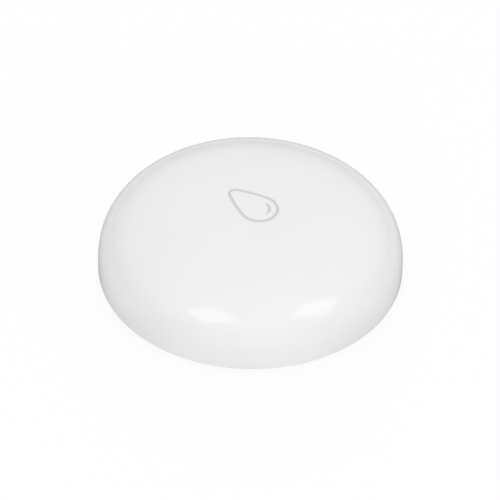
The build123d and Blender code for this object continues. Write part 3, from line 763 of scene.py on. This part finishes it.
dark_band = epoxy("polarity_band", (0.20, 0.10, 0.05))
band_loop = box_loop(tantalum[0] - 1.1, tantalum[1], 0.5, 2.2)
for name, loop, node, material, slot in (
    ("radio_dot", round_loop(radio[0] - 2.3, radio[1] + 2.3, 0.28), "radio_chip", print_white,
     "led_white"),
    ("sense_dot", round_loop(sense[0] - 0.9, sense[1] - 0.35, 0.16), "sense_chip", print_white,
     "led_white"),
    ("polarity_band", band_loop, "bulk_capacitor", dark_band, "chip_black"),
):
    grown(
        name, [loop], True, relief_tree, material, slot, Foot=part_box(node)[1].z - 0.02 * mm,
        Thickness=0.03 * mm,
    )

# A drop of solder 1 mm in radius and height, hollow in its flank, which each foot's size scales
given = new_tree(
    "Solder", Foot=board_face, Length=0.9 * mm, Width=1.0 * mm, Height=0.4 * mm
)
steps = 8
index = put("GeometryNodeInputIndex")
share = maths("MINIMUM", maths("DIVIDE", index, steps), 1.0)
kept = maths("LESS_THAN", index, steps + 0.5)
hollow = maths("POWER", maths("SUBTRACT", 1.0, share), 1.6)
x, z = [maths("MULTIPLY", way, mm) for way in (maths("MULTIPLY", share, kept), hollow)]
line = put("GeometryNodeMeshLine", Count=steps + 2)
drop = turned(put("GeometryNodeSetPosition", line, Position=point(x, 0, z)), 16)
reach = [maths("DIVIDE", given[way], 2 * mm) for way in ("Length", "Width")]
size = point(*reach, maths("DIVIDE", given["Height"], mm))
drops = put("GeometryNodeInstanceOnPoints", given["Mesh"], Instance=drop, Scale=size)
solder_tree = end_tree(moved(drops, 0, 0, given["Foot"]))

bright_solder = plain_metal("solder", (0.72, 0.72, 0.72), 0.2, 0.1, depth=0.001)
chip_feet = [(x + end * 0.8, y) for x, y in small_chips for end in (-1, 1)]
for name, places, length, width, height in (
    ("chip_solder", chip_feet, 1.0, 0.95, 0.42),
    ("radio_solder", [pad[:2] for pad in radio_pads], 0.5, 0.5, 0.2),
    ("sense_solder", sense_feet, 0.55, 0.8, 0.22),
    ("wide_solder", [pad[:2] for pad in wide_pads], 1.3, 2.1, 0.45),
    ("switch_solder", switch_feet, 1.2, 1.0, 0.3),
    ("crystal_solder", crystal_feet, 1.2, 0.9, 0.25),
):
    grown(
        name, [[place] for place in places], False, solder_tree, bright_solder, "tin",
        Length=length * mm, Width=width * mm, Height=height * mm,
    )
collar = [(1.62, 8.46), (1.70, 8.30), (1.86, 8.16), (2.25, 8.05), (2.25, 7.99), (1.60, 7.99)]
grown(
    "probe_solder", [collar], True, lathe, bright_solder, "tin", upright=True, Around=48,
    Count=2, Circle_Radius=probe_offset * mm,
)


# Reset switch.
# A surface-mount push switch: black nylon body and button, a stamped zinc-plated plate over
# them, four tinned feet, and in its well a steel snap dome under the button. On the real switch
# the dome clicks flat; here it keeps its resting shape.
nylon = moulded("switch_nylon", (0.04, 0.04, 0.042), 0.5, 0.08, 0.004)
plate_zinc = plain_metal("plate_zinc", (0.66, 0.67, 0.69), 0.28, 0.05, (8, 1, 1))
dome_steel = plain_metal("snap_dome_steel", (0.70, 0.70, 0.69), 0.16, 0.05)
broken_edged("switch_body", "switch_base", 0.1, nylon)
broken_edged("switch_cover_plate", "switch_plate", 0.04, plate_zinc)
broken_edged("switch_feet", "switch_terminals", 0.03, tinned)
broken_edged(
    "switch_press_button", "switch_button", 0.08, nylon, "reset_button"
)
snap_dome = broken_edged("snap_dome", "switch_dome", 0.01, dome_steel)
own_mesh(snap_dome)


# Board screws.
# Two bright zinc-plated self-tapping screws, pan head with a cross recess, that cut their
# coarse thread in the plastic bosses of the base.
zinc = turned_metal("zinc_plate", (0.66, 0.67, 0.69), 0.2, board_screw)
screw_head = 1.1
board_points = screw_section(1.75, 1.3, 0.4, screw_head, 0.78, 4.5)
grown(
    "board_screw_pair", [board_points], False, screw_tree, zinc, "zinc_steel", "board_screws",
    upright=True, Count=2, Circle_Radius=hypot(*board_screw) * mm, First_Angle=radians(60),
    Height=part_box("board_screws")[1].z, Tilt=pi, Thread_Radius=1.0 * mm,
    Thread_Low=(screw_head + 0.5) * mm, Thread_High=(screw_head + 4.1) * mm, Pitch=0.8 * mm,
    Thread_Depth=0.24 * mm, Ridge_Width=0.34 * mm, Recess_Length=2.0 * mm,
    Recess_Width=0.5 * mm, Recess_Depth=0.65 * mm,
)


# Dome.
# One glossy white moulding down to the underside, with no seam in its side. Inside are the ribs
# that centre the board, the posts that hold it down, the plunger and the ring that lets it bend.
def superellipse(radius, top, exponent, steps, from_turn, to_turn):
    """A line on X and Z along a superellipse, between two turns up from the side wall."""
    line = put("GeometryNodeMeshLine", Count=maths("ADD", steps, 1))
    share = maths("DIVIDE", put("GeometryNodeInputIndex"), steps)
    turn = maths("MULTIPLY_ADD", share, maths("SUBTRACT", to_turn, from_turn), from_turn)
    power = maths("DIVIDE", 2.0, exponent)
    across, upright = [
        maths("POWER", maths("MAXIMUM", maths(way, turn), 0.0), power) for way in ("COSINE", "SINE")
    ]
    foot = dome_foot * mm
    z = maths("MULTIPLY_ADD", maths("SUBTRACT", top, foot), upright, foot)
    place = point(maths("MULTIPLY", radius, across), 0, z)
    return put("GeometryNodeSetPosition", line, Position=place)


def block(low, high):
    """A block between two corners."""
    size = [(top - bottom) * mm for bottom, top in zip(low, high)]
    middle = [(bottom + top) / 2 * mm for bottom, top in zip(low, high)]
    return moved(put("GeometryNodeMeshCube", size), *middle)


def rod(radius, low, high, sides):
    """An upright rod."""
    wanted = {"Vertices": sides, "Radius": radius * mm, "Depth": (high - low) * mm}
    return moved(put("GeometryNodeMeshCylinder", **wanted), 0, 0, (low + high) / 2 * mm)


low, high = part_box("upper_shell")
dome_underside = low.z / mm
dome_radius = high.x / mm
ink_lift = 0.015
dome_top = high.z / mm - ink_lift
dome_exponent = 2.6
dome_foot = 2.3
wall_middle = 24.0
crown_middle = 14.25
cavity_radius = 23.0
cavity_top = 13.5
shoulder = 4.65
shoulder_share = (shoulder - dome_foot) / (cavity_top - dome_foot)
shoulder_turn = asin(shoulder_share ** (dome_exponent / 2))
board_top = 8.0
plunger_foot = 12.4
rib_foot = 12.9
rib_reach = 2.8
half_rib = 0.4
fin_inside = 20.98
post_circle = 18.0
moat_inside, moat_outside = 8.5, 10.1

given = new_tree(
    "Dome shell", Radius=dome_radius * mm, Top=dome_top * mm, Exponent=dome_exponent,
    Cavity_Radius=cavity_radius * mm, Cavity_Top=cavity_top * mm, Around=192, Steps=64,
)
radius, top, exponent, hollow_radius, hollow_top, around, steps = given[1:8]
outside = superellipse(radius, top, exponent, steps, pi / 2, 0.0)
inside = superellipse(hollow_radius, hollow_top, exponent, 36, shoulder_turn, pi / 2)
skin = turned(merged(joined(outside, given["Mesh"], inside), 0.005), around)
fins = block((fin_inside, -half_rib, shoulder), (24.5, half_rib, crown_middle))
fins = real(on_circle(fins, 12, 0.0, radians(15), 0.001 * mm))
posts = rod(1.0, board_top + 0.05, dome_top, 32)
posts = real(on_circle(posts, 4, post_circle * mm, radians(30), 0.0))
plunger = rod(1.5, plunger_foot, dome_top, 48)
ribs = [
    block((-x, -y, rib_foot), (x, y, dome_top))
    for x, y in ((rib_reach, half_rib), (half_rib, rib_reach))
]
inner_parts = combine("UNION", fins, posts, plunger, *ribs)
middle_line = superellipse(wall_middle * mm, crown_middle * mm, exponent, 32, pi / 2, 0.0)
start = (wall_middle * mm, 0, dome_foot * mm)
closing_line = put(
    "GeometryNodeMeshLine", Count=2, Start_Location=start, Offset=(-wall_middle * mm, 0, 0)
)
envelope = turned(merged(joined(middle_line, closing_line), 0.005), 96)
inner_parts = combine("INTERSECT", inner_parts, envelope)
key = block((-1.0, 22.4, 3.65), (1.0, 24.0, 4.651))
moat_rods = (rod(moat_outside, 12.0, 14.0, 96), rod(moat_inside, 11.0, 14.6, 96))
moat = combine("DIFFERENCE", *moat_rods)
dome_tree = end_tree(combine("DIFFERENCE", combine("UNION", skin, inner_parts, key), moat))

edge_round = 0.45
edge_steps = 6
rim = [(dome_radius, dome_foot)]
for step in range(edge_steps + 1):
    turn = pi / 2 * step / edge_steps
    out = dome_radius - edge_round + edge_round * cos(turn)
    rim.append((out, dome_underside + edge_round - edge_round * sin(turn)))
socket = 23.3
groove = 23.6
rim += [
    (socket + 0.1, dome_underside), (socket, dome_underside + 0.1), (socket, 3.5),
    (groove, 3.5), (groove, 4.4), (socket, 4.4), (socket, shoulder),
    (cavity_radius * (1 - shoulder_share**dome_exponent) ** (1 / dome_exponent), shoulder),
]

# Barely mottled, with the faint ripple that a mould's polish leaves
polished_white = patchy(
    "polished_white", ((0.855, 0.855, 0.855), (0.865, 0.865, 0.865)), (11, 2), (0.02, 0.035),
    (2.5, 4), (3.5, 1, 0.004), (0.25, 3, 0.0004), IOR=1.5,
)
grown(
    "dome_shell", [rim], False, dome_tree, polished_white, "shell_white", "upper_shell",
    upright=True, Around=192, Steps=64,
)


# Drop mark.
# A plain water drop, pad-printed in thin grey ink: one even line with slightly bowed flanks, and
# a short crescent inside it. The ink stands 0.015 mm proud of the dome.
def arc(end, radius, from_turn, to_turn, steps=96):
    """The points of an arc about a place on the mark's middle line."""
    turns = [from_turn + (to_turn - from_turn) * step / (steps - 1) for step in range(steps)]
    return [(mark_middle + radius * cos(turn), end + radius * sin(turn)) for turn in turns]


def flank(start, end, bow, steps=24):
    """The points between two others, on a line that bows outwards."""
    run = Vector(end) - Vector(start)
    outwards = Vector((run.y, -run.x)).normalized()
    shares = [step / steps for step in range(1, steps)]
    return [
        Vector(start) + run * share + outwards * bow * 4 * share * (1 - share)
        for share in shares
    ]


def drop_outline(end_radius, tip_radius, bow):
    """The outline of a drop: a round end and a rounded tip, with bowed flanks between."""
    lean = asin((end_radius - tip_radius) / (tip - round_end))
    tip_arc = arc(tip, tip_radius, lean, pi - lean)
    end_arc = arc(round_end, end_radius, pi - lean, 2 * pi + lean)
    left = flank(tip_arc[-1], end_arc[0], bow)
    return tip_arc + left + end_arc + flank(end_arc[-1], tip_arc[0], bow)


def crescent_outline(radius, from_turn, to_turn, thickness, steps=40):
    """The outline of a crescent that is thickest in the middle of its arc."""
    points = []
    for side in (1, -1):
        for step in range(steps):
            share = (step if side > 0 else steps - step) / steps
            turn = from_turn + (to_turn - from_turn) * share
            swell = 1 - (2 * share - 1) ** 2
            reach = radius + side * thickness / 2 * swell**0.4
            points.append((mark_middle + reach * cos(turn), round_end + reach * sin(turn)))
    return points


# The film follows the dome, and reaches a little way into it
given = new_tree("Printed mark", Lift=ink_lift * mm, Sink=0.02 * mm)
x, y, z = apart(put("GeometryNodeInputPosition"))
share = maths("DIVIDE", length_of(point(x, y, 0)), dome_radius * mm)
bulge = maths("SUBTRACT", 1.0, maths("POWER", share, dome_exponent))
bulge = maths("POWER", bulge, 1 / dome_exponent)
height = maths("MULTIPLY_ADD", bulge, (dome_top - dome_foot) * mm, dome_foot * mm)
laid = point(x, y, maths("SUBTRACT", height, given["Sink"]))
under = put("GeometryNodeSetPosition", filled(given["Mesh"]), Position=laid)
ink_tree = end_tree(closed_film(under, maths("ADD", given["Lift"], given["Sink"])))

mark_middle = -0.55
round_end = -2.2
tip = 3.15
end_radius = 3.27
tip_radius = 1.23
line_width = 0.5
bow = 0.143
mark_loops = [
    drop_outline(end_radius, tip_radius, bow),
    drop_outline(end_radius - line_width, tip_radius - line_width, bow),
    crescent_outline(1.72, radians(6), radians(-95), 0.52),
]

# A satin film, a little uneven, as a soft pad lays it down
mark_ink = patchy(
    "mark_ink", ((0.585, 0.585, 0.587), (0.635, 0.635, 0.637)), (0.35, 4), (0.30, 0.42), None,
    (0.08, 2, 0.001), IOR=1.5,
)
grown("drop_mark", mark_loops, True, ink_tree, mark_ink, "shell_white")


# Coin cell.
# A 2032 cell: a drawn can of nickel-plated steel, rolled in over a black nylon gasket, and the
# smaller cap that the gasket grips. The can's flat bottom faces the cover.
def rounded(corners, radius, steps=4):
    """A line on X and Z whose inner corners are rounded."""
    points = [corners[0]]
    for before, corner, after in zip(corners, corners[1:], corners[2:]):
        ends = []
        for other in (before, after):
            span = hypot(other[0] - corner[0], other[1] - corner[1])
            share = min(radius, span / 2) / span
            ends.append([a + (b - a) * share for a, b in zip(corner, other)])
        for step in range(steps + 1):
            t = step / steps
            weights = ((1 - t) ** 2, 2 * t * (1 - t), t**2)
            bend = (ends[0], corner, ends[1])
            points.append([sum(w * p[way] for w, p in zip(weights, bend)) for way in (0, 1)])
    return points + [corners[-1]]


rolled_steel = plain_metal(
    "can_steel", (0.70, 0.70, 0.69), 0.16, 0.04, (16, 1, 1), 0.0006, 0.03
)
matt_steel = plain_metal("cap_steel", (0.68, 0.68, 0.67), 0.3, 0.09, depth=0.004)
gasket_nylon = moulded("gasket_nylon", (0.10, 0.10, 0.11), 0.45, 0.05, 0.003)
can_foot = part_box("cell_can")[0].z / mm
can_corners = [
    (0, 0.25), (9.75, 0.25), (9.75, 2.65), (9.4, 2.65), (9.4, 2.9), (10.0, 2.9), (10.0, 0),
    (0, 0),
]
gasket_corners = [
    (9.28, 2.95), (9.4, 2.95), (9.4, 2.65), (9.75, 2.65), (9.75, 0.25), (9.15, 0.25),
    (9.15, 2.95), (9.28, 2.95),
]
cap_corners = [(0, 3.2), (8.45, 3.2), (8.58, 2.92), (9.15, 2.9), (9.15, 0.25), (0, 0.25)]
for name, node, corners, radius, closed, material, slot in (
    ("cell_can_drawn", "cell_can", can_corners, 0.28, False, rolled_steel, "cell_steel"),
    ("cell_gasket_ring", "cell_gasket", gasket_corners, 0.06, True, gasket_nylon, "cell_gasket"),
    ("cell_cap_drawn", "cell_cap", cap_corners, 0.3, False, matt_steel, "cell_steel"),
):
    line = [(x, can_foot + z) for x, z in rounded(corners, radius)]
    line = line[:-1] if closed else line
    grown(name, [line], closed, lathe, material, slot, node, upright=True, Around=144)


# Battery cover.
# White ABS moulded to match the base. A coin turns it by its slot, three lugs at its top edge
# hold it under the base's ledge, and a raised pointer shows where it stands.
cover_plastic = moulded("cover_plastic", (0.80, 0.80, 0.79), 0.42, 0.12, 0.005)
broken_edged(
    "cover_moulding", "battery_cover", 0.1, cover_plastic, "battery_cover"
)
pointer_loop = [(-1.0, 10.6), (1.0, 10.6), (0, 12.5)]
grown(
    "cover_pointer", [pointer_loop], True, relief_tree, cover_plastic, "cover_white",
    body="battery_cover", Foot=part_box("battery_cover")[0].z - sign_height, Thickness=sign_depth,
)


# Studio.
# A white floor that takes a faint shadow, in a pale room. Where only gloss sees the floor, it is
# painted darker: painted shade on either side of the camera's view and a painted dark reach
# farther off, so that the dome's sides reflect painted shade. Two round-cornered softboxes,
# turned on their corners, show in the dome's edge from behind the camera, and the other lamps
# fill its sides.
def seen_as(*rays):
    """1 where a ray is of one of some kinds, and otherwise 0."""
    outputs = add("ShaderNodeLightPath").outputs
    total = outputs[rays[0]]
    for ray in rays[1:]:
        total = maths("MAXIMUM", total, outputs[ray])
    return total


def direction(azimuth, elevation):
    """The way to a place, from its azimuth (0 is the front, -Y) and elevation."""
    across = cos(elevation)
    return Vector((sin(azimuth) * across, -cos(azimuth) * across, sin(elevation)))


view_azimuth = radians(-46.8)
view_elevation = radians(41.1)
view_roll = radians(1.13)
view_distance = 0.8
middle = Vector((0, 0, 7.6 * mm))

world = bpy.data.worlds.new("room")
bpy.context.scene.world = world
world.use_nodes = True
take_up(world.node_tree)
tree.nodes.clear()
rise = apart(put("ShaderNodeTexCoord"))[2]
diffuse_level = put("ShaderNodeMapRange", rise, 0.0, 1.0, 1.24, 0.41)
mirror_ramp = add("ShaderNodeValToRGB", maths("MULTIPLY_ADD", rise, 0.5, 0.5))
mirror_levels = [
    (-1.0, 0.80), (-0.30, 0.55), (-0.02, 0.16), (0.05, 0.16), (0.10, 0.28), (0.25, 0.43),
    (0.55, 0.71), (1.0, 0.71),
]
stops = mirror_ramp.color_ramp.elements
while len(stops) < len(mirror_levels):
    stops.new(1.0)
for stop, (height, share) in zip(stops, mirror_levels):
    stop.position = (height + 1) / 2
    stop.color = (share, share, share, 1)
level = mixed(seen_as("Is Glossy Ray"), diffuse_level, mirror_ramp.outputs["Color"])
level = mixed(seen_as("Is Camera Ray", "Is Transmission Ray"), level, (1, 1, 1))
add("ShaderNodeOutputWorld", put("ShaderNodeBackground", level))


def grey(kind, level):
    """A shader of one grey."""
    return put(kind, Color=(level, level, level, 1))


def either(share, first, second):
    """One shader, or the other where the share is 1."""
    return put("ShaderNodeMixShader", share, first, second)


floor_mesh = bpy.data.meshes.new("floor")
floor_side = 6.0
floor_z = -0.02 * mm
floor_corners = [(x, y, floor_z) for x, y in box_loop(0, 0, floor_side, floor_side)]
floor_mesh.from_pydata(floor_corners, [], [(0, 1, 2, 3)])
floor = shown("floor", floor_mesh)
floor_paint = bpy.data.materials.new("floor_paint")
floor_paint.use_nodes = True
take_up(floor_paint.node_tree)
tree.nodes.clear()
spot = part_place()
off = length_of(spot)
ahead = add("ShaderNodeVectorMath", spot, direction(view_azimuth, 0.0), operation="DOT_PRODUCT")
# Painted shade: as gloss sees it, the floor is darker on either side of the camera's view
painted_shade_cosine = 0.66
astray = maths("SUBTRACT", maths("DIVIDE", ahead.outputs["Value"], off), painted_shade_cosine)
painted_shade_span = (maths("ABSOLUTE", astray), 0.12, 0.24, 0.16, 0.48)
painted_shade_level = put("ShaderNodeMapRange", *painted_shade_span, interpolation_type="SMOOTHSTEP")
open_air = put("ShaderNodeBsdfTransparent")
# Painted shade: as gloss sees it, the floor near the sensor is a dim matt in the painted shade
# level, and beyond a short reach it is a dark grey glow
far = put("ShaderNodeMapRange", off, 0.08, 0.14, 0.0, 1.0)
dim_matt = put("ShaderNodeBsdfDiffuse", painted_shade_level)
reflected = either(far, dim_matt, grey("ShaderNodeEmission", 0.1))
reflected = either(maths("LESS_THAN", off, 23.3 * mm), reflected, open_air)
shown_white = either(0.9, grey("ShaderNodeBsdfDiffuse", 0.95), grey("ShaderNodeEmission", 1.0))
mirrored = seen_as("Is Glossy Ray", "Is Transmission Ray")
surface = either(mirrored, grey("ShaderNodeBsdfDiffuse", 0.62), reflected)
surface = either(seen_as("Is Camera Ray"), surface, shown_white)
surface = either(add("ShaderNodeNewGeometry").outputs["Backfacing"], surface, open_air)
add("ShaderNodeOutputMaterial", surface)
floor_mesh.materials.append(floor_paint)


def lamp(name, azimuth, elevation, distance, size, power):
    """A round lamp that faces the middle of the sensor and doesn't show in gloss."""
    data = bpy.data.lights.new(name, "AREA")
    data.shape = "DISK"
    data.size = size
    data.energy = power
    item = shown(name, data)
    way = direction(radians(azimuth), radians(elevation))
    item.location = middle + way * distance
    item.rotation_euler = way.to_track_quat("Z", "Y").to_euler()
    item.visible_glossy = False
    item.visible_camera = False
    return item


def round_corners(softbox, squareness):
    """Lets only a superellipse of a softbox's face shine, so that its corners are round."""
    softbox.data.use_nodes = True
    take_up(softbox.data.node_tree)
    reach = []
    for share in apart(add("ShaderNodeNewGeometry").outputs["Parametric"])[:2]:
        off = maths("ABSOLUTE", maths("MULTIPLY_ADD", share, 2.0, -1.0))
        reach.append(maths("POWER", off, squareness))
    feed(tree.nodes["Emission"], {"Strength": maths("LESS_THAN", maths("ADD", *reach), 1.0)})


for side, azimuth, elevation, height, roll in (
    ("left", -77.8, 37.5, 0.242, 48), ("right", 7.2, 36.1, 0.247, 139),
):
    softbox = lamp(f"softbox_{side}", azimuth, elevation, 0.5, height, 0.29)
    softbox.data.shape = "RECTANGLE"
    softbox.data.size_y = 0.213
    softbox.rotation_euler.rotate_axis("Z", radians(roll))
    softbox.visible_glossy = True
    round_corners(softbox, 4.0)
    lamp(f"fill_{side}", azimuth, elevation, 1.0, 0.556, 0.4)
for name, azimuth, elevation, power in (
    ("fill_front", -46.8, 10, 0.77), ("fill_back", 133.2, 50, 1.46),
    ("fill_back_low", 133.2, 15, 1.54), ("fill_side", 3.2, 15, 0.11),
):
    lamp(name, azimuth, elevation, 1.0, 0.5, power)

# The lamp below is for views from below, so the floor lets its light pass
lamp_below = lamp("lamp_below", 0, -90, 0.5, 0.3, 1.7)
lamp_below.data.cycles.max_bounces = 0
unshaded = bpy.data.collections.new("lets_light_pass")
unshaded.objects.link(floor)
unshaded.collection_objects[0].light_linking.link_state = "EXCLUDE"
lamp_below.light_linking.blocker_collection = unshaded

back = direction(view_azimuth, view_elevation)
level = Vector((cos(view_azimuth), sin(view_azimuth), 0))
right = level * cos(view_roll) + back.cross(level) * sin(view_roll)
up = back.cross(right)
aim = middle - right * 0.15 * mm - up * 2.42 * mm
camera_data = bpy.data.cameras.new("camera")
camera_data.lens = 352.3
camera_data.sensor_width = 36
camera_data.clip_start = 0.05
camera_data.clip_end = 10
camera = shown("camera", camera_data)
axes = Matrix((right, up, back)).transposed().to_4x4()
camera.matrix_world = Matrix.Translation(aim + back * view_distance) @ axes
bpy.context.scene.camera = camera
bpy.context.scene.view_settings.view_transform = "Standard"
